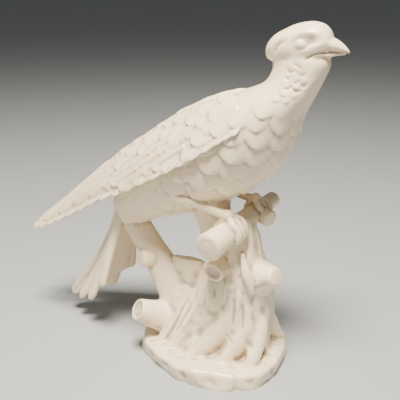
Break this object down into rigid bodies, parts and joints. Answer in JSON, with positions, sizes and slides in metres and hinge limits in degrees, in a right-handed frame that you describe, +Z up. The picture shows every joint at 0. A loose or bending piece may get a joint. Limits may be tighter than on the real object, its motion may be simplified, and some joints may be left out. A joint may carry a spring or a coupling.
{
  "type": "bird figurine",
  "caption": "White porcelain figure of a perched songbird with folded wings, cast in one with its branch, stump and rocky base.",
  "frame": {"origin": "centre of the base's flat underside", "axes": "+X the way the bird looks, +Y to the bird's left, +Z up"},
  "size_m": [0.2523, 0.1123, 0.2507],
  "materials": {
    "porcelain": "warm creamy white porcelain with a satin to soft gloss glaze"
  },
  "bodies": {
    "root": {"bird_figurine": "porcelain"}
  },
  "joints": []
}
